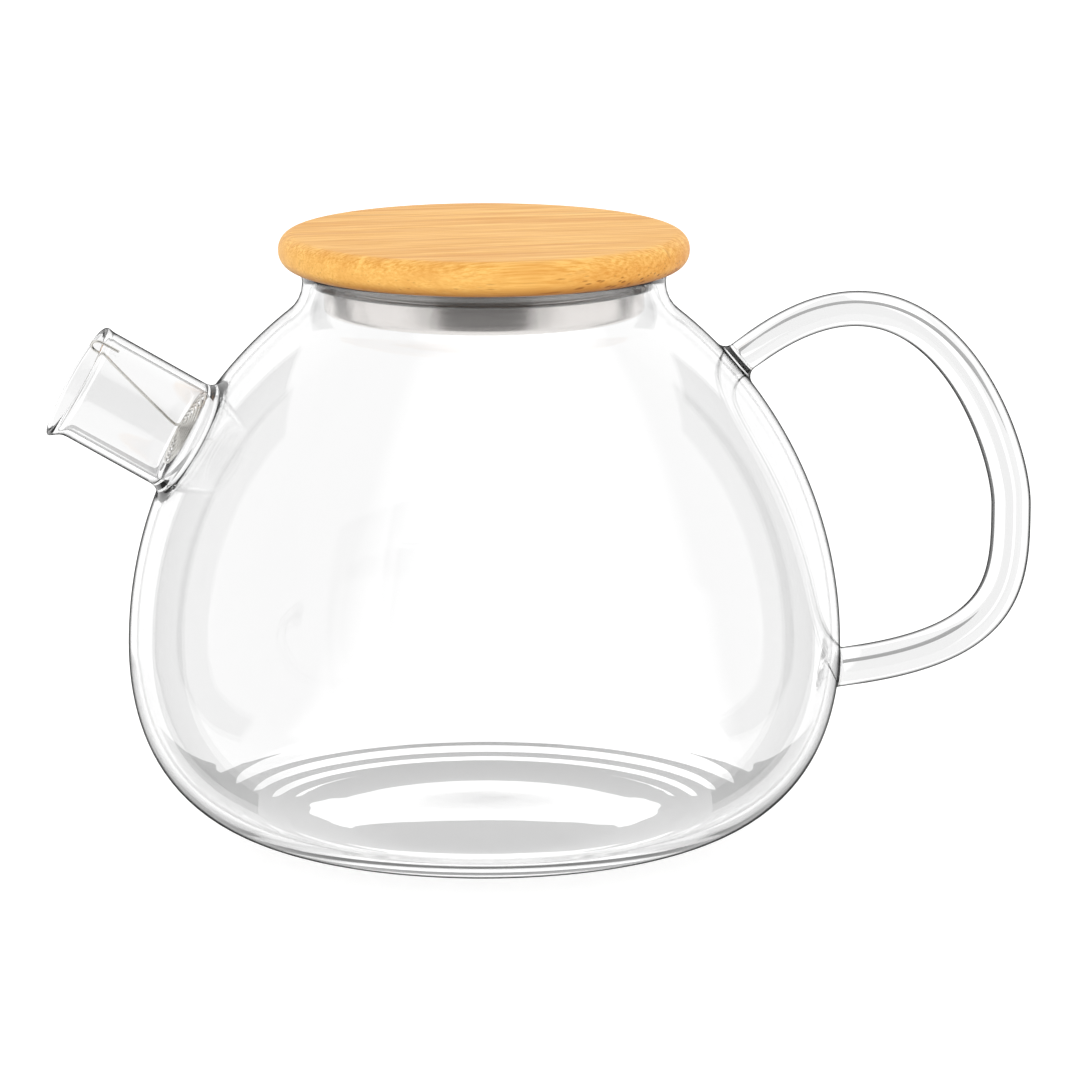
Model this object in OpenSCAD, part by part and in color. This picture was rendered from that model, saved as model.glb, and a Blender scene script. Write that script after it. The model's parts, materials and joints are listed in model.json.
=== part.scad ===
// Glass teapot with a tube spout, a rod handle, a bamboo lid and a wire spout filter.
// The origin is the middle of the base, +Z is up, the spout points to -X and the handle to +X.

/* [Pot] */
// Greatest outer diameter of the pot
belly_d = 150; // [146:1:154]
// Height of the widest level above the base
belly_h = 41.5; // [40:0.5:43]
// Radius of the side curve from the widest level up to the neck
side_r = 90; // [88:1:92]
// Diameter of the flat that the pot stands on
base_d = 64; // [60:1:68]
// Length of the base flat's pull on the lower curve
base_pull = 36; // [33:0.5:38]
// Length of the widest level's pull on the lower curve
belly_pull = 17.6; // [15:0.2:20]
// Glass thickness of the side
wall = 1.6; // [1.4:0.1:2]
// Glass thickness at the middle of the base
floor_t = 2.6; // [2.2:0.1:3]

/* [Neck] */
// Outer diameter at the waist of the neck
neck_d = 76; // [75:0.5:77]
// Radius of the hollow curve of the neck
neck_r = 8.5; // [8:0.5:9]
// Height of the rim that the lid rests on
rim_h = 121.5; // [121:0.5:122]

/* [Spout] */
// Outer diameter of the spout tube
spout_d = 23.8; // [23:0.2:24.4]
// Glass thickness of the spout tube
spout_wall = 1.4; // [1.2:0.1:1.6]
// Rise of the spout above the horizontal, in degrees
spout_tilt = 30.6; // [28:0.2:33]
// Length of the spout from the pot's side to its mouth
spout_len = 26; // [24:0.5:28]
// Height at which the spout's axis meets the pot's side
spout_h = 86.8; // [85:0.2:88]

/* [Handle] */
// Thickness of the handle rod at its upper weld
handle_top_d = 6.9; // [6.2:0.1:7.6]
// Thickness of the handle rod at its outermost point
handle_mid_d = 8.4; // [7.6:0.1:9]
// Thickness of the handle rod at its lower weld
handle_low_d = 8.3; // [7.6:0.1:9]
// Distance of the outermost point from the pot's axis
handle_reach = 112.7; // [108:0.5:116]

/* [Lid] */
// Diameter of the bamboo disc
lid_d = 86; // [84:1:88]
// Thickness of the bamboo disc
lid_t = 7.4; // [7:0.2:8]
// Outer diameter of the steel cup under the disc
cup_d = 66.8; // [66:0.2:67.4]
// Depth of the steel cup
cup_depth = 9.6; // [8.8:0.2:10]

/* [Filter] */
// Diameter of the filter wire
wire_d = 0.6; // [0.5:0.05:0.8]
// Number of turns in the filter coil
coil_turns = 6; // [5:0.5:7]

/* [Hidden] */
$fn = 96;
glass_clear = [0.82, 0.9, 0.92, 0.45];
steel_grey = [0.74, 0.75, 0.76];

belly_r = belly_d/2;
side_mid = belly_r - side_r;                     // centre of the side curve, from the axis
waist_mid = neck_d/2 + neck_r;                   // centre of the neck curve, from the axis
waist_h = belly_h + sqrt(pow(side_r + neck_r, 2) - pow(waist_mid - side_mid, 2));
shoulder_a = atan2(waist_h - belly_h, waist_mid - side_mid);
lip_a = asin((rim_h - wall/2 - waist_h)/neck_r); // how far the neck curve turns out to the rim
curve_steps = 14;
lower_curve = [[base_d/2, 0], [base_d/2 + base_pull, 0],
               [belly_r, belly_h - belly_pull], [belly_r, belly_h]];

bore_r = spout_d/2 - spout_wall;
spout_root = [side_mid + sqrt(pow(side_r, 2) - pow(spout_h - belly_h, 2)), spout_h];
spout_sink = 8;                                  // the tube's blank starts this far inside the pot
spout_flare = 2.6;                               // fillet of glass where the tube is welded on
pour_lip_d = 2.2;                                // bead turned down at the bottom of the mouth
pour_lip_span = 70;

weld_len = 5;
weld_flare = 2.4;
handle_gap = 1.2;                                // the bent rod's blank ends this far outside the pot
handle_top = [52.4, 0, 99.3];
handle_low = [73.9, 0, 33.7];
handle_top_tilt = 40;
handle_low_tilt = 4.6;
handle_top_pull = 53.7;
handle_low_pull = 38.9;
handle_mid_h = 68;
handle_up_pull = 14.5;
handle_down_pull = 17;
handle_steps = 26;
handle_sides = 20;

seat_gap = 0.1;                                  // play between the rim and the disc's underside
disc_h = rim_h + seat_gap;
edge_r = 3.6;                                    // rounding of the disc's lower edge
crown_r = 3.4;                                   // rounding of the disc's upper edge
cup_wall = 0.6;
cup_corner = 1.4;                                // outer bend between the cup's floor and its side
spigot_play = 0.2;
spigot_d = cup_d - 2*cup_wall - 2*spigot_play;
glue_t = 0.3;
glue_inset = 1.5;                                // bare margin round the glue
seal_h = 3.2;
seal_clear = 0.3;
fin_h = 0.9;
fin_depth = 1.1;
fin_slope = 0.4;
fin_edge = 0.3;                                  // bevels on the fins' edges
top_edge = 0.2;
seal_d = neck_d - 2*wall - 2*seal_clear;

wire_clear = 0.35;                               // play between the wire and the tube
coil_in_r = 1.4;
coil_out_r = 8.6;
coil_off = 1.2;                                  // the hook draws the coil this far to the upper side
coil_low = 1;                                    // outermost turn, along the spout from the pot's side
coil_rise = 1.2;                                 // the middle of the coil stands this much nearer the mouth
coil_steps = 22;
hook_a = 40;                                     // where the hook crosses the rim, round from the top
hook_in_r = bore_r - wire_clear - wire_d/2 - 0.2;
hook_out_r = spout_d/2 + wire_clear + wire_d/2 + 0.2;
hook_tail = 4;
hook_lift = 0.5;                                 // the hook's bend starts this far above the rim
stem_end = 1;                                    // the stem reaches the bore's wall this far below the rim
stem_rise = 1.2;                                 // height of the stem's foot above the middle of the coil
coil_exit = [0.45, 0.7];                         // share of the inner turn's radius, and rise, on the way
wire_sides = 8;

// Point and direction on a curve drawn by four control points
function curve_at(p, t) = pow(1 - t, 3)*p[0] + 3*pow(1 - t, 2)*t*p[1]
                          + 3*(1 - t)*t*t*p[2] + pow(t, 3)*p[3];
function curve_way(p, t) = pow(1 - t, 2)*(p[1] - p[0]) + 2*(1 - t)*t*(p[2] - p[1])
                           + t*t*(p[3] - p[2]);
function unit(v) = v/norm(v);
function left_of(v) = [-v.y, v.x];
function arc(mid, r, from, to, steps) =
    [for (i = [0:steps]) let (a = from + (to - from)*i/steps) mid + r*[cos(a), sin(a)]];

// Section of the pot's side, set in by a glass thickness at the side and at the base
function side_line(side_in, base_in) = concat(
    [for (i = [0:curve_steps]) let (t = i/curve_steps, way = unit(curve_way(lower_curve, t)))
        curve_at(lower_curve, t) + (base_in + (side_in - base_in)*t)*left_of(way)],
    [for (p = arc([side_mid, belly_h], side_r - side_in, 0, shoulder_a, curve_steps)) if (p.y > belly_h) p],
    [for (p = arc([waist_mid, waist_h], neck_r + side_in, 180 + shoulder_a, 180 - lip_a, 8)) p]);

function backwards(p) = [for (i = [len(p) - 1:-1:0]) p[i]];

// Everything inside the pot's outer skin, for trimming what is welded onto it
module pot_blank() {
    rotate_extrude($fn = 120)
        polygon(concat([[0, 0]], side_line(0, 0), [[0, rim_h - wall/2]]));
}

module pot_shell() {
    rotate_extrude($fn = 120) {
        polygon(concat([[0, 0]], side_line(0, 0), backwards(side_line(wall, floor_t)), [[0, floor_t]]));
        translate([waist_mid - (neck_r + wall/2)*cos(lip_a), rim_h - wall/2])
            circle(d = wall, $fn = 32);
    }
}

// Moves its children to the spout: local +Z runs out along the spout, local +X is its upper side
module at_spout() {
    translate([-spout_root.x, 0, spout_root.y])
        rotate([0, spout_tilt - 90, 0])
            children();
}

module glass_body() {
    color(glass_clear)
        difference() {
            pot_shell();
            at_spout()
                translate([0, 0, -spout_sink])
                    cylinder(r = bore_r, h = 2*spout_sink);
        }
}

module glass_spout() {
    color(glass_clear)
        difference() {
            at_spout() {
                rotate_extrude($fn = 72)
                    polygon(concat(
                        [[bore_r, -spout_sink], [spout_d/2 + spout_flare, -spout_sink]],
                        arc([spout_d/2 + spout_flare, spout_flare], spout_flare, 270, 180, 6),
                        arc([spout_d/2 - spout_wall/2, spout_len - spout_wall/2], spout_wall/2, 0, 180, 8)));
                rotate([0, 0, 180 - pour_lip_span/2])
                    rotate_extrude(angle = pour_lip_span, $fn = 72)
                        translate([spout_d/2, spout_len - pour_lip_d/2])
                            circle(d = pour_lip_d, $fn = 24);
            }
            pot_blank();
            at_spout()
                translate([0, 0, -2*spout_sink])
                    cylinder(r = bore_r, h = spout_len + 3*spout_sink);
        }
}

// Solid swept along a path, with its own radius at each point
function way_at(path, i) = unit(path[min(i + 1, len(path) - 1)] - path[max(i - 1, 0)]);
function squared(v, way) = unit(v - (v*way)*way);
function frames(path, first) =
    [for (i = 0, u = squared(first, way_at(path, 0)); i < len(path);
          i = i + 1, u = squared(u, way_at(path, min(i, len(path) - 1)))) u];

module swept(path, radii, first, sides) {
    ups = frames(path, first);
    rings = len(path);
    points = [for (i = [0:rings - 1]) let (w = way_at(path, i), u = ups[i], v = cross(w, u))
              for (k = [0:sides - 1]) let (a = 360*k/sides)
                  path[i] + radii[i]*(cos(a)*u + sin(a)*v)];
    skin = [for (i = [0:rings - 2], k = [0:sides - 1]) let (n = (k + 1) % sides)
               [i*sides + k, (i + 1)*sides + k, (i + 1)*sides + n, i*sides + n]];
    first_end = [for (k = [0:sides - 1]) k];
    last_end = [for (k = [sides - 1:-1:0]) (rings - 1)*sides + k];
    polyhedron(points = points, faces = concat(skin, [first_end, last_end]), convexity = 6);
}

// The handle's centre line: an upper curve to the outermost point, then a lower one
function upward(a) = [cos(a), 0, sin(a)];
handle_mid = [handle_reach, 0, handle_mid_h];
upper_curve = [handle_top, handle_top + handle_top_pull*upward(handle_top_tilt),
               handle_mid + [0, 0, handle_up_pull], handle_mid];
under_curve = [handle_mid, handle_mid - [0, 0, handle_down_pull],
               handle_low + handle_low_pull*upward(handle_low_tilt), handle_low];
function eased(from, to, t) = from + (to - from)*sin(90*t);

handle_path = concat(
    [for (i = [0:handle_steps]) curve_at(upper_curve, i/handle_steps)],
    [for (i = [1:handle_steps]) curve_at(under_curve, i/handle_steps)]);
handle_radii = concat(
    [for (i = [0:handle_steps]) eased(handle_top_d, handle_mid_d, i/handle_steps)/2],
    [for (i = [1:handle_steps]) eased(handle_low_d, handle_mid_d, 1 - i/handle_steps)/2]);

// Glass drawn out round the rod's end where it is welded to the pot
module weld(root, tilt, d) {
    translate(root)
        rotate([0, 90 - tilt, 0])
            rotate_extrude($fn = 48)
                polygon(concat(
                    [[0, -weld_len], [d/2 + weld_flare, -weld_len]],
                    arc([d/2 + weld_flare, weld_flare], weld_flare, 270, 180, 6),
                    [[0, weld_flare]]));
}

module glass_handle() {
    color(glass_clear)
        difference() {
            union() {
                swept(handle_path, handle_radii, [0, 1, 0], handle_sides);
                weld(handle_top + handle_gap*upward(handle_top_tilt), handle_top_tilt, handle_top_d);
                weld(handle_low + handle_gap*upward(handle_low_tilt), handle_low_tilt, handle_low_d);
            }
            pot_blank();
        }
}

module bamboo_lid() {
    color([0.93, 0.72, 0.4])
        translate([0, 0, disc_h])
            rotate_extrude($fn = 120)
                polygon(concat(
                    [[0, glue_t + cup_wall - cup_depth], [spigot_d/2, glue_t + cup_wall - cup_depth],
                     [spigot_d/2, 0]],
                    arc([lid_d/2 - edge_r, edge_r], edge_r, 270, 360, 10),
                    arc([lid_d/2 - crown_r, lid_t - crown_r], crown_r, 0, 80, 8),
                    [[0, lid_t]]));
}

module lid_cup() {
    color(steel_grey)
        translate([0, 0, disc_h - cup_depth])
            rotate_extrude($fn = 120)
                polygon(concat(
                    [[0, 0]],
                    arc([cup_d/2 - cup_corner, cup_corner], cup_corner, 270, 360, 6),
                    [[cup_d/2, cup_depth], [cup_d/2 - cup_wall, cup_depth]],
                    arc([cup_d/2 - cup_corner, cup_corner], cup_corner - cup_wall, 360, 270, 6),
                    [[0, cup_wall]]));
}

module lid_adhesive() {
    color([0.9, 0.88, 0.8])
        translate([0, 0, disc_h - cup_depth + cup_wall])
            cylinder(d = spigot_d - 2*glue_inset, h = glue_t);
}

// Soft ring with two fins that wipe the inside of the neck
module lid_seal() {
    color([0.93, 0.94, 0.94])
        translate([0, 0, disc_h - seal_h])
            rotate_extrude($fn = 120)
                polygon([
                    [cup_d/2, 0], [seal_d/2 - fin_depth, 0], [seal_d/2, fin_edge], [seal_d/2, fin_h],
                    [seal_d/2 - fin_depth, fin_h + fin_slope],
                    [seal_d/2 - fin_depth, seal_h - fin_h - fin_slope],
                    [seal_d/2, seal_h - fin_h], [seal_d/2, seal_h - top_edge],
                    [seal_d/2 - top_edge, seal_h], [cup_d/2, seal_h]]);
}

// The filter is one bent wire, drawn in the spout's own frame: coil, stem, hook over the rim
function round_rim(r, h) = [r*cos(hook_a), -r*sin(hook_a), h];
hook_mid_r = (hook_in_r + hook_out_r)/2;
hook_bend = (hook_out_r - hook_in_r)/2;
coil_path = [for (i = [0:coil_steps*coil_turns])
    let (t = i/(coil_steps*coil_turns), a = 360*coil_turns*t + hook_a,
         r = coil_out_r + (coil_in_r - coil_out_r)*t)
        [coil_off + r*cos(a), r*sin(a), coil_low + coil_rise*t]];
coil_end = coil_path[len(coil_path) - 1];
stem_foot = [coil_off, 0, coil_low + coil_rise + stem_rise];
stem_top = round_rim(hook_in_r, spout_len - stem_end);
wire_path = concat(
    coil_path,
    [[coil_off + coil_exit[0]*(coil_end.x - coil_off), coil_exit[0]*coil_end.y, coil_end.z + coil_exit[1]],
     stem_foot],
    [for (t = [0.25, 0.5, 0.75]) stem_foot + (stem_top - stem_foot)*t],
    [stem_top],
    [for (a = [0:30:180])
        round_rim(hook_mid_r - hook_bend*cos(a), spout_len + hook_lift + hook_bend*sin(a))],
    [round_rim(hook_out_r, spout_len + hook_lift - hook_tail)]);

module spout_filter() {
    color(steel_grey)
        at_spout()
            swept(wire_path, [for (p = wire_path) wire_d/2], [0, 0, 1], wire_sides);
}

glass_body();
glass_spout();
glass_handle();
bamboo_lid();
lid_cup();
lid_adhesive();
lid_seal();
spout_filter();
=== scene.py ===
import json
import math

import bmesh
import bpy
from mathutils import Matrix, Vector
from mathutils.geometry import delaunay_2d_cdt


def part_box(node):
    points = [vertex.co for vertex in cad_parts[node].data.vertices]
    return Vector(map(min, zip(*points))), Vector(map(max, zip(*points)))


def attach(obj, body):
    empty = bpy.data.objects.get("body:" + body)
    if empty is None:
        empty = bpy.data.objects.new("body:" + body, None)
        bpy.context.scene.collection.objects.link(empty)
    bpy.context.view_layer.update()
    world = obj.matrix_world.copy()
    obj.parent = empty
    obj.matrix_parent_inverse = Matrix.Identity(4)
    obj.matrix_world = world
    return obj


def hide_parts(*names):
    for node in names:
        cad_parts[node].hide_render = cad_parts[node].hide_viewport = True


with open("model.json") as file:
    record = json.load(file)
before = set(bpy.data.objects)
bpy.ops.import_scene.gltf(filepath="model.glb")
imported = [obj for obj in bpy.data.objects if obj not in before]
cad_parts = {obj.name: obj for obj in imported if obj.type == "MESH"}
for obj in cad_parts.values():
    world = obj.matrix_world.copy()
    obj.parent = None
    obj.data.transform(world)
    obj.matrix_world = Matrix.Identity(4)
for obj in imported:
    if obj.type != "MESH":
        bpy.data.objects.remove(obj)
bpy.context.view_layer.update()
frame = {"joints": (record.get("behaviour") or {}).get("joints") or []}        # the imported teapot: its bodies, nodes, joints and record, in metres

mm = 0.001
scene = bpy.context.scene


cameraSetup = {
    "azimuth": -7.5,          # degrees, a little round towards the spout
    "elevation": 11.27,
    "distance": 1500,         # mm, a long lens from far back
    "aimHeight": 63.35,       # mm above the base
    "aimSide": 11.7,          # mm to the right of the pot's axis
    "frameWidth": 227.3,      # mm across the picture at the aim point
    "sensor": 36.0,           # mm
    "clip": (0.1, 30),        # metres
}


def makeCamera(c):
    azimuth, elevation = math.radians(c["azimuth"]), math.radians(c["elevation"])
    back = Vector((math.sin(azimuth) * math.cos(elevation),
                   -math.cos(azimuth) * math.cos(elevation), math.sin(elevation)))
    right = Vector((math.cos(azimuth), math.sin(azimuth), 0))
    aim = right * c["aimSide"] * mm + Vector((0, 0, c["aimHeight"] * mm))
    data = bpy.data.cameras.new("camera")
    data.sensor_width = c["sensor"]
    data.lens = c["sensor"] * c["distance"] / c["frameWidth"]
    data.clip_start, data.clip_end = c["clip"]
    camera = bpy.data.objects.new("camera", data)
    camera.location = aim + back * c["distance"] * mm
    camera.rotation_mode = "QUATERNION"
    camera.rotation_quaternion = (-back).to_track_quat("-Z", "Y")
    scene.collection.objects.link(camera)
    scene.camera = camera
    return camera


camera = makeCamera(cameraSetup)
print("camera set")


def bezier(p, t):
    start = p[0] * (1 - t) ** 3 + p[1] * 3 * t * (1 - t) ** 2
    return start + p[2] * 3 * t * t * (1 - t) + p[3] * t ** 3


def arcPoints(mid, radius, start, end, steps):
    angles = [math.radians(start + (end - start) * i / steps) for i in range(steps + 1)]
    return [Vector((mid[0] + radius * math.cos(a), mid[1] + radius * math.sin(a))) for a in angles]


def smoothStep(low, high, x):
    t = min(max((x - low) / (high - low), 0), 1)
    return t * t * (3 - 2 * t)


# the same line, as points about one step apart
def evenPoints(line, step):
    lengths = [0]
    for a, b in zip(line, line[1:]):
        lengths.append(lengths[-1] + (b - a).length)
    count = max(1, round(lengths[-1] / step))
    out, k = [], 0
    for i in range(count + 1):
        want = lengths[-1] * i / count
        while k < len(line) - 2 and lengths[k + 1] < want:
            k += 1
        part = (want - lengths[k]) / max(lengths[k + 1] - lengths[k], 1e-9)
        out.append(line[k].lerp(line[k + 1], part))
    return out


class MeshMaker:
    def __init__(self):
        self.points, self.faces, self.bends = [], [], []
        self.bend = 1.0           # mm, how tightly the surface now being made is curved

    def ring(self, points):
        start = len(self.points)
        self.points.extend(points)
        self.bends.extend([self.bend] * len(points))
        return list(range(start, len(self.points)))

    def skin(self, a, b):
        n = len(a)
        for k in range(n):
            self.faces.append((a[k], a[(k + 1) % n], b[(k + 1) % n], b[k]))

    def cap(self, ring, point):
        middle = self.ring([point])[0]
        n = len(ring)
        for k in range(n):
            self.faces.append((ring[k], ring[(k + 1) % n], middle))

    def build(self, name):
        mesh = bpy.data.meshes.new(name)
        mesh.from_pydata([p * mm for p in self.points], [], self.faces)
        work = bmesh.new()
        work.from_mesh(mesh)
        bmesh.ops.recalc_face_normals(work, faces=work.faces)
        loose = [e for e in work.edges if len(e.link_faces) != 2]
        if loose:
            print(name, "has", len(loose), "open edges")
        work.to_mesh(mesh)
        work.free()
        mesh.shade_smooth()
        mesh.attributes.new("bend", "FLOAT", "POINT").data.foreach_set("value", self.bends)
        piece = bpy.data.objects.new(name, mesh)
        scene.collection.objects.link(piece)
        return piece


pot = {
    "bellyHeight": 41.5,
    "sideRadius": 90,         # curve from the widest level up to the neck
    "baseRadius": 32,
    "basePull": 36,
    "bellyPull": 17.6,
    "neckRadius": 38,
    "neckCurve": 8.5,
    "wall": 1.6,
    "floor": 2.6,
    "hollow": 0.3,            # the underside is drawn up this much in its middle
    "hollowRadius": 31,
    "hollowRows": 14,
    "ripple": 0.035,          # height of the rings inside, where the floor was pressed
    "rippleStep": 4.2,
    "rippleFrom": 40,
    "rippleTo": 62,
    "rippleFade": 6,
    "lowHeight": 20,          # below this the pot counts as its tighter lower curve
    "lowBend": 60,            # mm, sets how broad the painted dark outline is there
    "rimBend": 25,
    "rimRows": 10,
    "columns": 224,
    "rowStep": 2.1,
}
spout = {
    "height": 86.8,           # where its axis meets the pot's side
    "radius": 11.9,
    "wall": 1.4,
    "length": 26,
    "fillet": 2.6,
    "innerFillet": 1.3,
    "innerSpread": 1.6,       # how far past the bore the inner fillet starts
    "lipBead": 0.22,          # how much thicker the fire-polished rim is
    "beadFrom": 2.2,          # below the rim, where the thickening starts
    "beadFull": 0.6,
    "lipDrop": 1.5,           # how far the pouring lip is drawn out
    "lipSpan": 34,            # degrees either side of the bottom
    "lipFrom": 4.2,           # below the rim, where the lip starts
    "lipCurl": 1.5,
    "levelOut": 6,            # the wavy weld line has become a level ring at this height
    "levelIn": 5,
    "levelRows": 3,
    "outerShares": (0.15, 0.3, 0.45, 0.6, 0.7, 0.76, 0.82, 0.87, 0.91, 0.95, 0.98, 1),
    "innerShares": (0, 0.03, 0.06, 0.1, 0.14, 0.2, 0.27, 0.35, 0.5, 0.65, 0.8, 1),
    "weldBend": 40,
    "mouthBend": 30,
    "mouthRows": 8,
    "sides": 96,
}
handle = {
    "top": (52.4, 99.3), "topTilt": 40, "topPull": 53.7,
    "low": (73.9, 33.7), "lowTilt": 4.6, "lowPull": 38.9,
    "reach": 112.7, "reachHeight": 68, "upPull": 14.5, "downPull": 17,
    "topSize": 6.9, "midSize": 8.4, "lowSize": 8.3,
    "fillet": 2.2,
    "weldBend": 7,
    "weldReach": 6.5,         # the fillets end the rod this near to its roots
    "sides": 48,
    "steps": 60,
}
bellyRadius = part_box("glass_body")[1].x / mm
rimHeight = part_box("glass_body")[1].z / mm


def potLine(inset, floorInset, steps=160):
    p = pot
    curve = [Vector((p["baseRadius"], 0)), Vector((p["baseRadius"] + p["basePull"], 0)),
             Vector((bellyRadius, p["bellyHeight"] - p["bellyPull"])),
             Vector((bellyRadius, p["bellyHeight"]))]
    line = []
    for i in range(steps):
        t = i / steps
        way = (bezier(curve, t + 0.0005) - bezier(curve, t)).normalized()
        line.append(bezier(curve, t) + Vector((-way.y, way.x)) * (floorInset + (inset - floorInset) * t))
    sideMid = bellyRadius - p["sideRadius"]
    waistMid = p["neckRadius"] + p["neckCurve"]
    waistHeight = p["bellyHeight"] + math.sqrt(
        (p["sideRadius"] + p["neckCurve"]) ** 2 - (waistMid - sideMid) ** 2)
    shoulder = math.degrees(math.atan2(waistHeight - p["bellyHeight"], waistMid - sideMid))
    turnOut = math.degrees(math.asin((rimHeight - p["wall"] / 2 - waistHeight) / p["neckCurve"]))
    line += arcPoints((sideMid, p["bellyHeight"]), p["sideRadius"] - inset, 0, shoulder, steps)
    line += arcPoints((waistMid, waistHeight), p["neckCurve"] + inset, 180 + shoulder, 180 - turnOut, 60)[1:]
    return line


outerLine = potLine(0, 0)
innerLine = potLine(pot["wall"], pot["floor"])


# the pot's radius at a height, from one of its two lines
def radiusAt(line, z):
    low, high = 0, len(line) - 1
    while high - low > 1:
        mid = (low + high) // 2
        if line[mid].y <= z:
            low = mid
        else:
            high = mid
    a, b = line[low], line[high]
    return a.x + (b.x - a.x) * (z - a.y) / max(b.y - a.y, 1e-6)


# a tube or rod that leaves the pot at an angle
class Branch:
    def __init__(self, origin, out, up):
        self.origin, self.out = origin, out.normalized()
        self.up = (up - self.out * up.dot(self.out)).normalized()
        self.side = self.out.cross(self.up)

    def at(self, radius, angle, height):
        a = math.radians(angle)
        return self.origin + (self.up * math.cos(a) + self.side * math.sin(a)) * radius + self.out * height

    def flat(self, p):
        d = p - self.origin
        return Vector((d.dot(self.up), d.dot(self.side)))

    def onPot(self, line, radius, angle):
        low, high = -16.0, 16.0
        for _ in range(40):
            mid = (low + high) / 2
            p = self.at(radius, angle, mid)
            if math.hypot(p.x, p.y) < radiusAt(line, p.z):
                low = mid
            else:
                high = mid
        return (low + high) / 2


# opens the pot's grid of quads around a branch and joins the edge to the branch's ring
def cutHole(maker, cells, branch, radius, ring):
    cut = []
    for key, quad in cells.items():
        near = [maker.points[v] for v in quad]
        if any(branch.flat(p).length < radius + 0.6 and (p - branch.origin).length < radius + 12
               for p in near):
            cut.append(key)
    counts = {}
    for key in cut:
        quad = cells.pop(key)
        for a, b in zip(quad, quad[1:] + quad[:1]):
            edge = (min(a, b), max(a, b))
            counts[edge] = counts.get(edge, 0) + 1
    links = {}
    for (a, b), n in counts.items():
        if n == 1:
            links.setdefault(a, []).append(b)
            links.setdefault(b, []).append(a)
    start = min(links)
    loop, last = [start], None
    while True:
        ahead = [v for v in links[loop[-1]] if v != last]
        last = loop[-1]
        if ahead[0] == start and len(loop) > 2:
            break
        loop.append(ahead[0])
        if len(loop) > len(links):
            break
    ids = loop + ring
    flat = [branch.flat(maker.points[v]) for v in ids]
    n, m = len(loop), len(ring)
    edges = [(k, (k + 1) % n) for k in range(n)] + [(n + k, n + (k + 1) % m) for k in range(m)]
    found = delaunay_2d_cdt(flat, edges, [], 0, 1e-7)
    source = [o[0] for o in found[3]]

    def inside(p, polygon):
        hit = False
        for a, b in zip(polygon, polygon[1:] + polygon[:1]):
            if (a.y > p.y) != (b.y > p.y) and p.x < (b.x - a.x) * (p.y - a.y) / (b.y - a.y) + a.x:
                hit = not hit
        return hit

    for face in found[2]:
        middle = sum((found[0][k] for k in face), Vector((0, 0))) / 3
        if inside(middle, flat[:n]) and not inside(middle, flat[n:]):
            maker.faces.append(tuple(ids[source[k]] for k in face))


# glass drawn out at a weld: rings from the pot's surface up to the branch's own side
def filletRings(maker, branch, line, inner, outer, height, steps, sides):
    dip = 0.55

    def point(angle, t):
        far = branch.onPot(line, outer(angle), angle)
        slope = (far - branch.onPot(line, outer(angle) - 0.3, angle)) / 0.3
        reach = outer(angle) - inner(angle)
        near = branch.onPot(line, inner(angle), angle) + height
        curve = [Vector((outer(angle), far)),
                 Vector((outer(angle) - reach * dip, far - slope * reach * dip)),
                 Vector((inner(angle), near - height * dip)), Vector((inner(angle), near))]
        return bezier(curve, t)

    rings = []
    for i in range(steps + 1):
        points = []
        for k in range(sides):
            angle = 360 * k / sides
            p = point(angle, i / steps)
            points.append(branch.at(p.x, angle, p.y))
        rings.append(maker.ring(points))
    for a, b in zip(rings, rings[1:]):
        maker.skin(a, b)
    return rings


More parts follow.
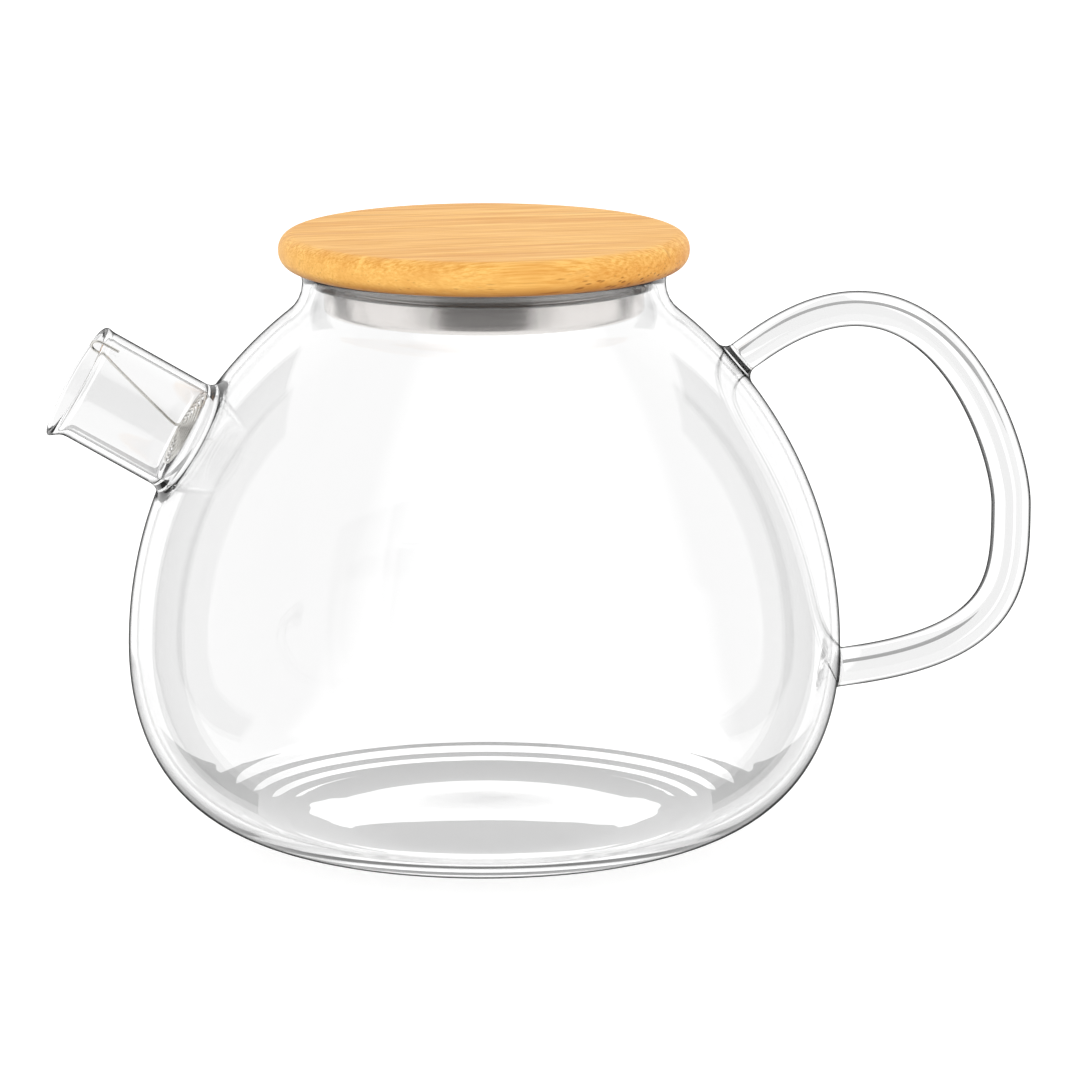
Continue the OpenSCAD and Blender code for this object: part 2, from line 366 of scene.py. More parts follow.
def spoutRings(maker, branch, cellsOut, cellsIn):
    s = spout
    sides, bore = s["sides"], s["radius"] - s["wall"]
    maker.bend = s["weldBend"]
    outerRings = filletRings(maker, branch, outerLine, lambda a: s["radius"],
                             lambda a: s["radius"] + s["fillet"], s["fillet"], 8, sides)
    cutHole(maker, cellsOut, branch, s["radius"] + s["fillet"], outerRings[0])
    innerRings = filletRings(maker, branch, innerLine, lambda a: bore,
                             lambda a: bore + s["innerSpread"], s["innerFillet"], 6, sides)
    cutHole(maker, cellsIn, branch, bore + s["innerSpread"], innerRings[0])

    def lip(angle, height):
        turn = (angle - 180) / s["lipSpan"]
        rise = smoothStep(s["length"] - s["lipFrom"], s["length"], height)
        return s["lipDrop"] * math.exp(-turn * turn) * rise ** s["lipCurl"]

    def bead(height):
        return s["lipBead"] * smoothStep(s["length"] - s["beadFrom"], s["length"] - s["beadFull"], height)

    def tube(radius, height, swell):
        return maker.ring([branch.at(radius + swell * bead(height) + lip(360 * k / sides, height),
                                     360 * k / sides, height) for k in range(sides)])

    maker.bend = s["radius"]
    half = s["wall"] / 2
    turns = [360 * k / sides for k in range(sides)]
    startOut = [branch.onPot(outerLine, s["radius"], turn) + s["fillet"] for turn in turns]
    startIn = [branch.onPot(innerLine, bore, turn) + s["innerFillet"] for turn in turns]
    top = s["length"] - half
    path = []
    for i in range(1, s["levelRows"] + 1):   # from the wavy weld line to a level ring
        part = i / s["levelRows"]
        path.append([branch.at(s["radius"], turn, start * (1 - part) + s["levelOut"] * part)
                     for turn, start in zip(turns, startOut)])
    last = outerRings[-1]
    for points in path:
        ring = maker.ring(points)
        maker.skin(last, ring)
        last = ring
    for share in s["outerShares"]:
        ring = tube(s["radius"], s["levelOut"] + (top - s["levelOut"]) * share, 1)
        maker.skin(last, ring)
        last = ring
    mid = s["radius"] - half
    maker.bend = s["mouthBend"]
    for i in range(1, s["mouthRows"]):
        a = math.pi * i / s["mouthRows"]
        thick = half + s["lipBead"]
        points = []
        for angle in turns:
            points.append(branch.at(mid + thick * math.cos(a) + lip(angle, top + thick * math.sin(a)),
                                    angle, top + thick * math.sin(a) * half / thick))
        ring = maker.ring(points)
        maker.skin(last, ring)
        last = ring
    maker.bend = bore
    for share in s["innerShares"]:
        ring = tube(bore, top - (top - s["levelIn"]) * share, -1)
        maker.skin(last, ring)
        last = ring
    for i in range(1, s["levelRows"]):
        part = i / s["levelRows"]
        ring = maker.ring([branch.at(bore, turn, s["levelIn"] * (1 - part) + start * part)
                           for turn, start in zip(turns, startIn)])
        maker.skin(last, ring)
        last = ring
    maker.skin(last, innerRings[-1])


def upward(tilt):
    return Vector((math.cos(math.radians(tilt)), 0, math.sin(math.radians(tilt))))


def handleCurve():
    h = handle
    top, low = Vector((h["top"][0], 0, h["top"][1])), Vector((h["low"][0], 0, h["low"][1]))
    mid, rise = Vector((h["reach"], 0, h["reachHeight"])), Vector((0, 0, 1))
    upper = [top, top + upward(h["topTilt"]) * h["topPull"], mid + rise * h["upPull"], mid]
    under = [mid, mid - rise * h["downPull"], low + upward(h["lowTilt"]) * h["lowPull"], low]
    return upper, under


def handleRings(maker, cells):
    h = handle
    upper, under = handleCurve()
    n, sides = h["steps"], h["sides"]
    path = [bezier(upper, i / n) for i in range(n + 1)] + [bezier(under, i / n) for i in range(1, n + 1)]
    sizes = [h["topSize"] + (h["midSize"] - h["topSize"]) * math.sin(math.pi / 2 * i / n)
             for i in range(n + 1)]
    sizes += [h["lowSize"] + (h["midSize"] - h["lowSize"]) * math.cos(math.pi / 2 * i / n)
              for i in range(1, n + 1)]
    branches = []
    for root, tilt in ((upper[0], h["topTilt"]), (under[-1], h["lowTilt"])):
        branches.append(Branch(root, upward(tilt), Vector((0, 0, 1))))
    ends = []
    maker.bend = h["weldBend"]
    for branch, size in zip(branches, (h["topSize"], h["lowSize"])):
        rings = filletRings(maker, branch, outerLine, lambda a, r=size / 2: r,
                            lambda a, r=size / 2: r + h["fillet"], h["fillet"], 8, sides)
        cutHole(maker, cells, branch, size / 2 + h["fillet"], rings[0])
        ends.append(rings[-1])
    last = ends[0]
    maker.bend = h["midSize"] / 2
    for i, p in enumerate(path):
        if min((p - path[0]).length, (p - path[-1]).length) < h["weldReach"]:
            continue
        way = (path[i + 1] - path[i - 1]).normalized()
        up = Vector((-way.z, 0, way.x))
        points = []
        for k in range(sides):
            a = 2 * math.pi * k / sides
            points.append(p + (up * math.cos(a) + way.cross(up) * math.sin(a)) * sizes[i] / 2)
        ring = maker.ring(points)
        maker.skin(last, ring)
        last = ring
    # the far weld's ring is numbered the other way round, starting from its own upper side
    far = ends[1]
    turned = [far[(sides // 2 - k) % sides] for k in range(sides)]
    maker.skin(last, turned)


def makeGlass():
    maker = MeshMaker()
    n = pot["columns"]
    hollowRadii = [pot["hollowRadius"] * (i + 0.4) / pot["hollowRows"] for i in range(pot["hollowRows"])]
    outerRows = [Vector((r, pot["hollow"] * (1 + math.cos(math.pi * r / pot["hollowRadius"])) / 2))
                 for r in hollowRadii] + evenPoints(outerLine, pot["rowStep"])
    half = pot["wall"] / 2
    rimMid = (outerLine[-1] + innerLine[-1]) / 2
    across = (outerLine[-1] - innerLine[-1]).normalized()
    rise = Vector((-across.y, across.x))
    rimTurns = [math.pi * i / pot["rimRows"] for i in range(1, pot["rimRows"])]
    rimRow = [rimMid + (across * math.cos(a) + rise * math.sin(a)) * half for a in rimTurns]
    innerRows = []
    for p in evenPoints(innerLine, pot["rowStep"] / 2):
        span = 0
        if p.y < pot["lowHeight"]:
            span = smoothStep(pot["rippleFrom"], pot["rippleFrom"] + pot["rippleFade"], p.x)
        span *= 1 - smoothStep(pot["rippleTo"] - pot["rippleFade"], pot["rippleTo"], p.x)
        wave = math.sin(2 * math.pi * p.x / pot["rippleStep"])
        innerRows.append(Vector((p.x, p.y + span * pot["ripple"] * wave)))
    innerRows = innerRows[::-1] + [Vector((r, pot["floor"])) for r in hollowRadii[::-1]]
    line = outerRows + rimRow + innerRows
    rows = []
    for i, p in enumerate(line):
        maker.bend = bellyRadius if p.y > pot["lowHeight"] else pot["lowBend"]
        if len(outerRows) <= i < len(outerRows) + len(rimRow):
            maker.bend = pot["rimBend"]
        rows.append(maker.ring([Vector((p.x * math.cos(2 * math.pi * (k + 0.5) / n),
                                        p.x * math.sin(2 * math.pi * (k + 0.5) / n), p.y))
                                for k in range(n)]))
    cells = {(i, k): (rows[i][k], rows[i][(k + 1) % n], rows[i + 1][(k + 1) % n], rows[i + 1][k])
             for i in range(len(rows) - 1) for k in range(n)}
    split = len(outerRows) + len(rimRow) // 2
    outside = {key: quad for key, quad in cells.items() if key[0] < split}
    inside = {key: quad for key, quad in cells.items() if key[0] >= split}
    pull = next(j for j in frame["joints"] if j["name"] == "filter_pull")
    out = Vector(pull["axis"])
    root = Vector((-radiusAt(outerLine, spout["height"]), 0, spout["height"]))
    spoutBranch = Branch(root, out, Vector((0, 0, 1)))
    spoutRings(maker, spoutBranch, outside, inside)
    handleRings(maker, outside)
    maker.faces.extend(outside.values())
    maker.faces.extend(inside.values())
    maker.bend = bellyRadius
    maker.cap(rows[0], Vector((0, 0, line[0].y)))
    maker.cap(rows[-1], Vector((0, 0, line[-1].y)))
    return maker.build("glass_vessel"), spoutBranch


glass, spoutBranch = makeGlass()
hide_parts("glass_body", "glass_spout", "glass_handle")
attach(glass, "pot")
print("glass made", len(glass.data.vertices))


lid = {
    "seatGap": 0.1,           # play between the glass rim and the disc
    "edgeRound": 3.6,
    "crownRound": 3.4,
    "cupWall": 0.6,
    "cupCorner": 1.4,
    "spigotGap": 0.2,
    "glue": 0.3,
    "finDepth": 1.1,
    "finHeight": 0.9,
}
discLow = rimHeight + lid["seatGap"]
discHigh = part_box("bamboo_lid")[1].z / mm
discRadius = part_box("bamboo_lid")[1].x / mm
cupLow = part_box("lid_cup")[0].z / mm
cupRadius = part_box("lid_cup")[1].x / mm
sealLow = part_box("lid_seal")[0].z / mm
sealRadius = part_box("lid_seal")[1].x / mm


# a solid of revolution from half of its section
def turned(name, outline, columns, step):
    maker = MeshMaker()
    line = []
    for a, b in zip(outline, outline[1:]):
        line += evenPoints([a, b], step)[:-1]
    line.append(outline[-1])
    closed = (outline[0] - outline[-1]).length < 1e-6
    if closed:
        line.pop()
    rings = []
    for p in line:
        if p.x < 1e-6:
            continue
        rings.append(maker.ring([Vector((p.x * math.cos(2 * math.pi * k / columns),
                                         p.x * math.sin(2 * math.pi * k / columns), p.y))
                                 for k in range(columns)]))
    for a, b in zip(rings, rings[1:]):
        maker.skin(a, b)
    if closed:
        maker.skin(rings[-1], rings[0])
    else:
        maker.cap(rings[0], Vector((0, 0, outline[0].y)))
        maker.cap(rings[-1], Vector((0, 0, outline[-1].y)))
    return maker.build(name)


def points(*pairs):
    return [Vector(p) for p in pairs]


def makeDisc():
    s = lid
    spigot = cupRadius - s["cupWall"] - s["spigotGap"]
    foot = cupLow + s["cupWall"] + s["glue"]
    outline = points((0, foot), (spigot - 0.5, foot), (spigot, foot + 0.5), (spigot, discLow))
    edge, crown = s["edgeRound"], s["crownRound"]
    outline += arcPoints((discRadius - edge, discLow + edge), edge, 270, 360, 16)
    outline += arcPoints((discRadius - crown, discHigh - crown), crown, 0, 80, 16)
    outline += points((discRadius - crown, discHigh - 0.01), (0, discHigh))
    return turned("bamboo_disc", outline, 192, 1.5)


def makeCup():
    s = lid
    inner = s["cupCorner"] - s["cupWall"]
    middle = (cupRadius - s["cupCorner"], cupLow + s["cupCorner"])
    outline = points((0, cupLow)) + arcPoints(middle, s["cupCorner"], 270, 360, 10)
    outline += points((cupRadius, discLow - 0.15), (cupRadius - 0.15, discLow),
                      (cupRadius - s["cupWall"] + 0.1, discLow), (cupRadius - s["cupWall"], discLow - 0.1))
    outline += arcPoints(middle, inner, 360, 270, 8) + points((0, cupLow + s["cupWall"]))
    return turned("steel_cup", outline, 192, 1.2)


def makeSeal():
    s = lid
    root = sealRadius - s["finDepth"]
    low, high, fin = sealLow, discLow, s["finHeight"]
    outline = points((cupRadius, low), (root, low), (sealRadius - 0.2, low + 0.2), (sealRadius, low + 0.45),
                     (sealRadius - 0.1, low + fin * 0.9), (root + 0.2, low + fin + 0.15),
                     (root, low + fin + 0.4), (root, high - fin - 0.4), (root + 0.2, high - fin - 0.15),
                     (sealRadius - 0.1, high - fin * 0.9), (sealRadius, high - 0.45),
                     (sealRadius - 0.2, high - 0.05), (cupRadius, high), (cupRadius, low))
    return turned("silicone_seal", outline, 192, 0.8)


def makeGlue():
    low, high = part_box("lid_adhesive")
    r = high.x / mm
    outline = points((0, low.z / mm), (r - 0.1, low.z / mm), (r, low.z / mm + 0.1),
                     (r - 0.1, high.z / mm), (0, high.z / mm))
    return turned("glue_pad", outline, 96, 4)


disc, cup, seal, glue = makeDisc(), makeCup(), makeSeal(), makeGlue()
for piece, node, slot in ((disc, "bamboo_lid", "bamboo"), (cup, "lid_cup", "brushed_steel"),
                          (seal, "lid_seal", "silicone"), (glue, "lid_adhesive", "adhesive")):
    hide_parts(node)
    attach(piece, "lid")
print("lid made")


wire = {
    "size": 0.6,
    "turns": 6,
    "inner": 1.4,
    "outer": 8.6,
    "aside": 1.2,             # the hook draws the coil this far to the upper side
    "clear": 0.35,
    "foot": 1.0,
    "rise": 1.2,
    "hookAngle": -40,         # where the hook crosses the rim, round from the top
    "hookTail": 4.0,
    "hookLift": 0.5,          # the hook's bend starts this far above the rim
    "hookPlay": 0.2,
    "stemTop": 1,             # the stem meets the bore's wall this far below the rim
    "sides": 14,
    "stepsPerTurn": 40,
}


# a round bar along a path, carried round its bends without twist
def sweep(maker, path, radius, sides):
    ways = [(path[min(i + 1, len(path) - 1)] - path[max(i - 1, 0)]).normalized()
            for i in range(len(path))]
    up = spoutBranch.out - ways[0] * spoutBranch.out.dot(ways[0])
    rings = []
    for p, way in zip(path, ways):
        up = (up - way * up.dot(way)).normalized()
        side = way.cross(up)
        rings.append(maker.ring([p + (up * math.cos(2 * math.pi * k / sides)
                                      + side * math.sin(2 * math.pi * k / sides)) * radius
                                 for k in range(sides)]))
    for a, b in zip(rings, rings[1:]):
        maker.skin(a, b)
    maker.cap(rings[0], path[0] - ways[0] * radius * 0.4)
    maker.cap(rings[-1], path[-1] + ways[-1] * radius * 0.4)


def smoothPath(path, rounds):
    for _ in range(rounds):
        cut = [path[0]]
        for a, b in zip(path, path[1:]):
            cut += [a.lerp(b, 0.25), a.lerp(b, 0.75)]
        path = cut + [path[-1]]
    return path


def makeFilter():
    s = wire
    half = s["size"] / 2
    bore = spout["radius"] - spout["wall"]
    count = int(s["stepsPerTurn"] * s["turns"])
    aside = spoutBranch.up * s["aside"]
    coil = []
    for i in range(count + 1):
        t = i / count
        coil.append(aside + spoutBranch.at(s["outer"] + (s["inner"] - s["outer"]) * t,
                                           360 * s["turns"] * t + s["hookAngle"], s["foot"] + s["rise"] * t))
    high = s["foot"] + s["rise"]
    innerHook = bore - s["clear"] - half - s["hookPlay"]
    outerHook = spout["radius"] + s["clear"] + half + s["hookPlay"]
    hookFoot = spout["length"] + s["hookLift"]
    bend = (outerHook - innerHook) / 2
    stem = [aside + spoutBranch.at(0.6, 360 * s["turns"] + s["hookAngle"], high + 0.7),
            aside + spoutBranch.at(0, 0, high + 1.2)]
    last = spoutBranch.at(innerHook, s["hookAngle"], spout["length"] - s["stemTop"])
    stem += [stem[-1].lerp(last, t) for t in (0.25, 0.5, 0.75, 1)]
    for degrees in range(0, 181, 30):
        a = math.radians(degrees)
        stem.append(spoutBranch.at((innerHook + outerHook) / 2 - bend * math.cos(a), s["hookAngle"],
                                   hookFoot + bend * math.sin(a)))
    stem.append(spoutBranch.at(outerHook, s["hookAngle"], hookFoot - s["hookTail"]))
    maker = MeshMaker()
    sweep(maker, coil + smoothPath([coil[-1]] + stem, 2)[1:], half, s["sides"])
    return maker.build("wire_filter")


spring = makeFilter()
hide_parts("spout_filter")
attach(spring, "filter")
print("filter made")


# sRGB hex to linear
def colour(code):
    channels = [int(code[i:i + 2], 16) / 255 for i in (1, 3, 5)]
    return [c / 12.92 if c <= 0.04045 else ((c + 0.055) / 1.055) ** 2.4 for c in channels] + [1.0]


def addNode(tree, kind, settings=None, **links):
    node = tree.nodes.new("ShaderNode" + kind)
    for key, value in (settings or {}).items():
        if isinstance(key, int) or key in node.inputs:
            node.inputs[key].default_value = value
        else:
            setattr(node, key, value)
    for key, socket in links.items():
        name = int(key[1:]) if key[0] == "i" and key[1:].isdigit() else key.replace("_", " ")
        tree.links.new(socket, node.inputs[name])
    return node


def newMaterial(name, **constants):
    material = bpy.data.materials.new(name)
    material.use_nodes = True
    tree = material.node_tree
    shader = tree.nodes["Principled BSDF"]
    for key, value in constants.items():
        shader.inputs[key.replace("_", " ")].default_value = value
    return material, tree, shader


def millimetres(tree, scale=(1, 1, 1), turn=0):
    place = addNode(tree, "TexCoord").outputs["Object"]
    spun = addNode(tree, "VectorRotate", {"rotation_type": "Z_AXIS", "Angle": math.radians(turn)},
                   Vector=place)
    size = addNode(tree, "VectorMath", {"operation": "MULTIPLY", 1: [1000 / s for s in scale]},
                   i0=spun.outputs[0])
    return size.outputs[0]


def mapRange(tree, value, low, high, toLow=0.0, toHigh=1.0):
    return addNode(tree, "MapRange", {"From Min": low, "From Max": high, "To Min": toLow, "To Max": toHigh},
                   Value=value).outputs[0]


def mixed(tree, factor, a, b):
    node = tree.nodes.new("ShaderNodeMix")
    node.data_type = "RGBA"
    for socket, value in zip((node.inputs[0], node.inputs[6], node.inputs[7]), (factor, a, b)):
        if isinstance(value, bpy.types.NodeSocket):
            tree.links.new(value, socket)
        else:
            socket.default_value = value
    return node.outputs[2]


def bump(tree, shader, height, strength, distance):
    node = addNode(tree, "Bump", {"Strength": strength, "Distance": distance * mm}, Height=height)
    tree.links.new(node.outputs[0], shader.inputs["Normal"])


# painted shade: the dark outline painted along the glass where its surface turns away
paintedEdgeShade = {
    "dark": 0.16,             # mm in from the outline that are painted dark
    "clear": 0.6,             # mm in from the outline where the glass is clear again
    "depth": 0.92,            # how dark the painted outline shade is, from 0 to 1
}


# borosilicate glass, blown and flame-worked: clear, with the faint ripple of a hand-worked wall
def blownGlass():
    material, tree, shader = newMaterial("blown_borosilicate_glass", Transmission_Weight=1.0, IOR=1.473,
                                         Roughness=0.0, Base_Color=colour("#FDFDFD"))
    ripple = addNode(tree, "TexNoise", {"Scale": 1.0, "Detail": 1.0}, Vector=millimetres(tree, (14, 14, 22)))
    bump(tree, shader, ripple.outputs["Fac"], 0.2, 0.05)
    # painted shade: an edge seen along its own wall is painted dark for about a third of a millimetre, in
    # place of the dark surroundings the glass would refract there
    facing = addNode(tree, "LayerWeight", {"Blend": 0.5}).outputs["Facing"]
    straight = addNode(tree, "Math", {"operation": "SUBTRACT", 0: 1.0}, i1=facing).outputs[0]
    square = addNode(tree, "Math", {"operation": "POWER", 1: 2.0}, i0=straight).outputs[0]
    bend = addNode(tree, "Attribute", {"attribute_name": "bend"}).outputs["Fac"]
    inset = addNode(tree, "Math", {"operation": "MULTIPLY"}, i0=square, i1=bend).outputs[0]
    dark = mapRange(tree, inset, paintedEdgeShade["clear"] * 2, paintedEdgeShade["dark"] * 2, 0.0, paintedEdgeShade["depth"])
    # painted shade: a near-black diffuse layer mixed over the glass at its outline
    paintedEdgeBlack = addNode(tree, "BsdfDiffuse", {"Color": colour("#0C0F0E")})
    both = addNode(tree, "MixShader", {}, i0=dark, i1=shader.outputs[0], i2=paintedEdgeBlack.outputs[0])
    tree.links.new(both.outputs[0], tree.nodes["Material Output"].inputs["Surface"])
    return material


bambooTones = {name: colour(code) for name, code in (
    ("pale", "#F6C46F"), ("streak", "#D99A45"), ("honey", "#D18B38"), ("line", "#A8641F"),
    ("bundle", "#7A4519"), ("lowEdgeBrown", "#9E6029"))}


# laminated bamboo, turned and sanded, with a thin matt lacquer: pale strips, long fibres, dark bundle ends
def turnedBamboo():
    grainTurn = -5
    material, tree, shader = newMaterial("turned_bamboo", Specular_IOR_Level=0.12)
    fibre = addNode(tree, "TexNoise", {"Scale": 1.0, "Detail": 4.0, "Roughness": 0.65},
                    Vector=millimetres(tree, (22, 0.55, 0.45), grainTurn)).outputs["Fac"]
    broad = addNode(tree, "TexNoise", {"Scale": 1.0, "Detail": 3.0, "Roughness": 0.6},
                    Vector=millimetres(tree, (60, 3.2, 4), grainTurn)).outputs["Fac"]
    bundle = addNode(tree, "TexVoronoi", {"Scale": 1.0, "Randomness": 1.0},
                     Vector=millimetres(tree, (34, 0.95, 0.8), grainTurn)).outputs["Distance"]
    place = addNode(tree, "SeparateXYZ", {}, Vector=millimetres(tree)).outputs
    low = mapRange(tree, place[2], discLow + 5, discLow + 0.4)
    # the culm's dense outer side lies to the right, so the bundles crowd there
    crowd = mapRange(tree, place[0], -6, 24, 0.3, 1.0)
    spread = addNode(tree, "Math", {"operation": "MULTIPLY", 1: 0.2}, i0=crowd).outputs[0]
    reach = addNode(tree, "Math", {"operation": "MULTIPLY_ADD", 2: 0.17}, i0=low, i1=spread).outputs[0]
    spot = addNode(tree, "Math", {"operation": "SUBTRACT"}, i0=reach, i1=bundle).outputs[0]
    dark = mapRange(tree, spot, -0.05, 0.1)
    side = mapRange(tree, place[2], discHigh - 1.2, discHigh - 3)
    base = mixed(tree, mapRange(tree, fibre, 0.36, 0.62), bambooTones["streak"], bambooTones["pale"])
    base = mixed(tree, mapRange(tree, broad, 0.42, 0.68, 0.0, 0.6), base, bambooTones["honey"])
    seam = mapRange(tree, broad, 0.27, 0.34, 0.45, 0.0)
    base = mixed(tree, seam, base, bambooTones["line"])
    share = addNode(tree, "Math", {"operation": "MULTIPLY_ADD", 2: 0.12}, i0=low, i1=crowd).outputs[0]
    amount = addNode(tree, "Math", {"operation": "MULTIPLY"}, i0=dark, i1=share)
    base = mixed(tree, addNode(tree, "Math", {"operation": "MULTIPLY", 1: 0.5}, i0=side).outputs[0], base,
                 mixed(tree, crowd, bambooTones["pale"], bambooTones["honey"]))
    base = mixed(tree, amount.outputs[0], base, bambooTones["bundle"])
    # the colour turns darker brown towards the disc's lower edge
    lowEdgeBrown = mapRange(tree, place[2], discLow + 2.4, discLow + 0.2, 0.0, 0.8)
    base = mixed(tree, lowEdgeBrown, base, bambooTones["lowEdgeBrown"])
    tree.links.new(base, shader.inputs["Base Color"])
    tree.links.new(mapRange(tree, fibre, 0.3, 0.7, 0.52, 0.36), shader.inputs["Roughness"])
    bump(tree, shader, fibre, 0.3, 0.12)
    return material


# stainless steel cup, spun and brushed round its axis: a satin sheen that spreads up and down
def brushedSteel():
    material, tree, shader = newMaterial("brushed_stainless", Metallic=1.0, Base_Color=colour("#DAD6D3"),
                                         Anisotropic=0.5)
    place = addNode(tree, "SeparateXYZ", {}, Vector=millimetres(tree))
    angle = addNode(tree, "Math", {"operation": "ARCTAN2"},
                    i0=place.outputs[1], i1=place.outputs[0]).outputs[0]
    away = addNode(tree, "VectorMath", {"operation": "LENGTH"},
                   i0=addNode(tree, "CombineXYZ", {}, X=place.outputs[0], Y=place.outputs[1]).outputs[0])
    lines = addNode(tree, "CombineXYZ", {}, X=angle, Y=away.outputs["Value"], Z=place.outputs[2]).outputs[0]
    # brush marks are 0.05 mm wide; drawn 0.3 mm wide so that they show
    marks = addNode(tree, "VectorMath", {"operation": "MULTIPLY", 1: (2.0, 3.3, 3.3)}, i0=lines).outputs[0]
    brush = addNode(tree, "TexNoise", {"Scale": 1.0, "Detail": 4.0, "Roughness": 0.7},
                    Vector=marks).outputs["Fac"]
    tree.links.new(mapRange(tree, brush, 0.3, 0.7, 0.14, 0.24), shader.inputs["Roughness"])
    tangent = addNode(tree, "Tangent", {"direction_type": "RADIAL", "axis": "Z"}).outputs[0]
    tree.links.new(tangent, shader.inputs["Tangent"])
    bump(tree, shader, brush, 0.15, 0.02)
    return material


# moulded silicone rubber: clear but a little milky, soft gloss, so the steel behind it shows through
def mouldedSilicone():
    material, tree, shader = newMaterial("clear_silicone", IOR=1.41, Transmission_Weight=0.88)
    haze = addNode(tree, "TexNoise", {"Scale": 1.0, "Detail": 4.0},
                   Vector=millimetres(tree, (2, 2, 2))).outputs["Fac"]
    tree.links.new(mixed(tree, mapRange(tree, haze, 0.4, 0.7), colour("#F4F5F4"), colour("#E9EAE8")),
                   shader.inputs["Base Color"])
    tree.links.new(mapRange(tree, haze, 0.3, 0.7, 0.1, 0.2), shader.inputs["Roughness"])
    return material


# food-safe resin that holds the spigot in the cup: cream, smooth
def curedResin():
    material, tree, shader = newMaterial("cured_resin", IOR=1.5, Roughness=0.4)
    cloud = addNode(tree, "TexNoise", {"Scale": 1.0}, Vector=millimetres(tree, (6, 6, 6))).outputs["Fac"]
    tree.links.new(mixed(tree, cloud, colour("#E6DFC8"), colour("#D9D0B4")), shader.inputs["Base Color"])
    return material


# drawn stainless wire: bright, with fine lines along its length
def drawnWire():
    material, tree, shader = newMaterial("drawn_stainless_wire", Metallic=1.0, Base_Color=colour("#CFCDC8"))
    line = addNode(tree, "TexNoise", {"Scale": 1.0, "Detail": 3.0},
                   Vector=millimetres(tree, (0.4, 0.4, 0.4)))
    tree.links.new(mapRange(tree, line.outputs["Fac"], 0.3, 0.7, 0.12, 0.3), shader.inputs["Roughness"])
    bump(tree, shader, line.outputs["Fac"], 0.1, 0.01)
    return material


for piece, material in ((glass, blownGlass()), (disc, turnedBamboo()), (cup, brushedSteel()),
                        (seal, mouldedSilicone()), (glue, curedResin()), (spring, drawnWire())):
    piece.data.materials.append(material)
print("materials made")


studio = {
    "sky": 1.2,               # brightness of the white surround
    "floorSize": 24.0,        # metres
    "floorColour": "#B4B4B3",
    "floorGlow": 0.78,        # the floor is a lit acrylic table
    "sideTurn": 58,           # degrees off the view line, behind the pot
    "sideAway": 1.5,          # metres
    "sideWidth": 0.55,
    "sideLevel": 0.25,
    "roomAway": 1.75,         # metres from the pot to the dark side of the room
    "roomWidth": 2.3,
    "roomLevel": 0.2,
    "dimWidth": 4.4,
    "dimLevel": 0.85,
    "cardHeight": 2.6,
    "backdropAway": 1.7,
    "backdropWidth": 1.1,
    "panelEdge": 0.055,       # half width of the brightest part of the backdrop, in metres
    "panelSoft": 0.04,
    "panelSlant": 0.24,
    "panelLevel": 0.95,
    "baffleLevel": 0.42,      # dark strip below the view, which the bottom of the pot picks up
    "baffleLow": -0.42,
    "baffleHigh": -0.215,
    "baffleWidth": 0.8,
    "layerGap": 0.1,          # metres from one card to the one in front of it
    "roomGap": 0.02,
    "floorDrop": 0.2,         # mm that the floor lies below the pot's flat base
}


def glowing(name, level):
    material = bpy.data.materials.new(name)
    material.use_nodes = True
    tree = material.node_tree
    tree.nodes.remove(tree.nodes["Principled BSDF"])
    glow = addNode(tree, "Emission", {"Color": (1, 1, 1, 1), "Strength": level})
    tree.links.new(glow.outputs[0], tree.nodes["Material Output"].inputs[0])
    return material


# cards show in reflections and through the glass, and nowhere else
def onlyInGlass(card):
    card.visible_camera = False
    card.visible_diffuse = False
    card.visible_shadow = False
    card.visible_volume_scatter = False


def makeCard(name, turn, away, width, level):
    mesh = bpy.data.meshes.new(name)
    half, high = width / 2, studio["cardHeight"] / 2
    corners = [(-half, -high, 0), (half, -high, 0), (half, high, 0), (-half, high, 0)]
    mesh.from_pydata(corners, [], [(0, 1, 2, 3)])
    mesh.materials.append(glowing(name, level))
    card = bpy.data.objects.new(name, mesh)
    scene.collection.objects.link(card)
    turn = math.radians(turn)
    card.parent = camera
    card.location = (away * math.sin(turn), 0, -cameraSetup["distance"] * mm - away * math.cos(turn))
    card.rotation_euler = (0, -turn, 0)
    onlyInGlass(card)
    return card


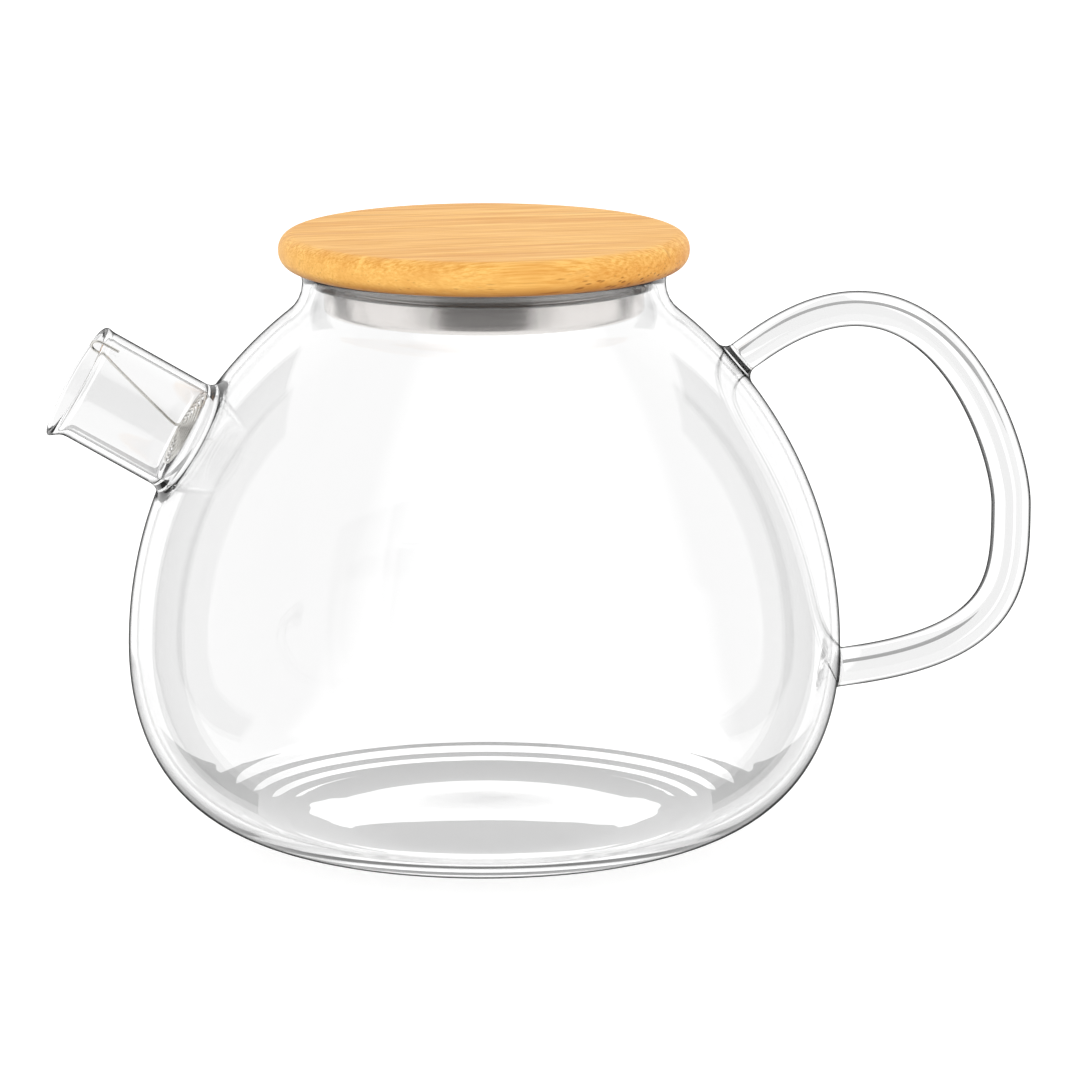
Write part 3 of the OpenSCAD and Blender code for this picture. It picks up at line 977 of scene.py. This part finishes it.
def makeBackdrop():
    s = studio
    card = makeCard("backdrop", 0, s["backdropAway"], s["backdropWidth"], s["panelLevel"])
    tree = card.data.materials[0].node_tree
    place = addNode(tree, "SeparateXYZ", {}, Vector=addNode(tree, "TexCoord").outputs["Object"]).outputs
    across = addNode(tree, "Math", {"operation": "ABSOLUTE"}, i0=place[0]).outputs[0]
    slant = addNode(tree, "Math", {"operation": "MULTIPLY_ADD", 1: s["panelSlant"]},
                    i0=place[1], i2=across).outputs[0]
    level = mapRange(tree, slant, s["panelEdge"], s["panelEdge"] + s["panelSoft"], s["sky"], s["panelLevel"])
    tree.links.new(level, tree.nodes["Emission"].inputs["Strength"])


def makeFloor():
    mesh = bpy.data.meshes.new("floor")
    half = studio["floorSize"] / 2
    corners = [(-half, -half, 0), (half, -half, 0), (half, half, 0), (-half, half, 0)]
    mesh.from_pydata(corners, [], [(0, 1, 2, 3)])
    material, tree, shader = newMaterial("pale_floor", Base_Color=colour(studio["floorColour"]),
                                         Roughness=0.9, Specular_IOR_Level=0.0,
                                         Emission_Color=(1, 1, 1, 1), Emission_Strength=studio["floorGlow"])
    mesh.materials.append(material)
    floor = bpy.data.objects.new("floor", mesh)
    scene.collection.objects.link(floor)
    floor.location.z = -studio["floorDrop"] * mm
    floor.visible_transmission = False
    floor.visible_glossy = False


def makeStudio():
    s = studio
    world = bpy.data.worlds.new("studio")
    world.use_nodes = True
    world.node_tree.nodes["Background"].inputs["Color"].default_value = (1, 1, 1, 1)
    world.node_tree.nodes["Background"].inputs["Strength"].default_value = s["sky"]
    world.cycles.sampling_method = "NONE"
    scene.world = world
    scene.view_settings.view_transform = "Standard"
    makeFloor()
    for side, turn in (("left", -s["sideTurn"]), ("right", s["sideTurn"])):
        makeCard("flag_" + side, turn, s["sideAway"], s["sideWidth"], s["sideLevel"])
    makeBackdrop()
    baffle = makeCard("baffle", 0, s["backdropAway"] - s["layerGap"], s["baffleWidth"], s["baffleLevel"])
    baffle.scale.y = (s["baffleHigh"] - s["baffleLow"]) / s["cardHeight"]
    baffle.location.y = (s["baffleHigh"] + s["baffleLow"]) / 2
    makeCard("dark_room", 180, s["roomAway"], s["roomWidth"], s["roomLevel"])
    makeCard("dim_room", 180, s["roomAway"] + s["roomGap"], s["dimWidth"], s["dimLevel"])


makeStudio()
print("studio made")
